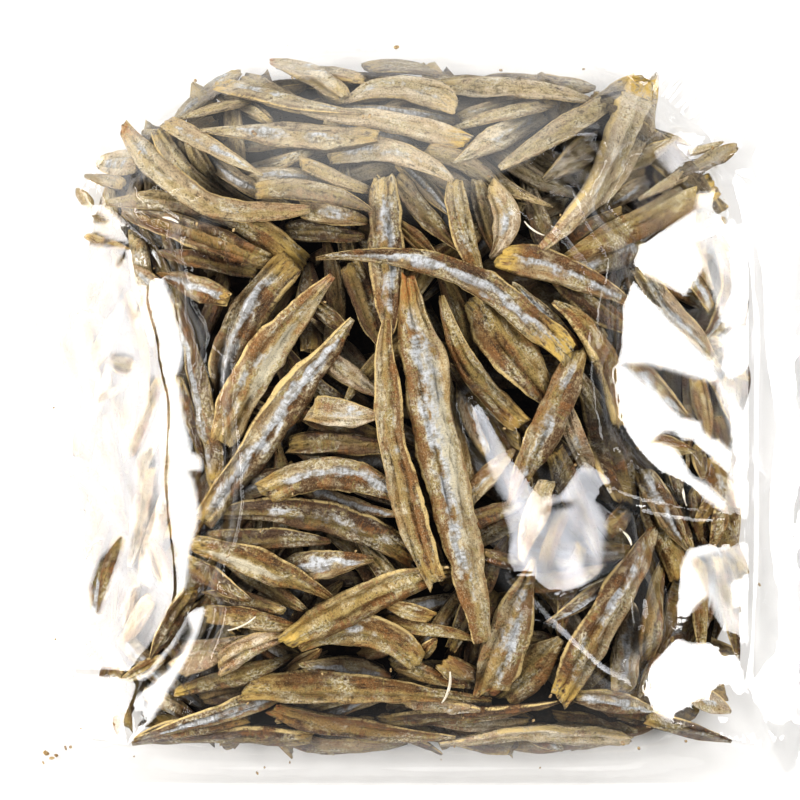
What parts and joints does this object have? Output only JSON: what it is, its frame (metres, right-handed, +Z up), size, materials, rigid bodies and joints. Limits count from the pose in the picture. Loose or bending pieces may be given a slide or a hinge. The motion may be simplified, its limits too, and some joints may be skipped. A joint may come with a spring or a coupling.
{
  "type": "bag of dried anchovies",
  "caption": "Clear plastic bag packed with small headless dried anchovies, lying on its back with flat film margins and a seal at the top.",
  "frame": {"origin": "on the flat underside, at the middle of the picture's view of the packed fish", "axes": "+X across the bag to the right of its shown side, +Y along it towards its upper seal, +Z up out of its shown side"},
  "size_m": [0.1993, 0.2143, 0.038],
  "materials": {
    "dried_fish": "dry, leathery skin with broken silver along the sides",
    "clear_film": "clear glossy film with sharp creases"
  },
  "bodies": {
    "root": {"bag_of_dried_anchovies": "dried_fish"}
  },
  "joints": []
}
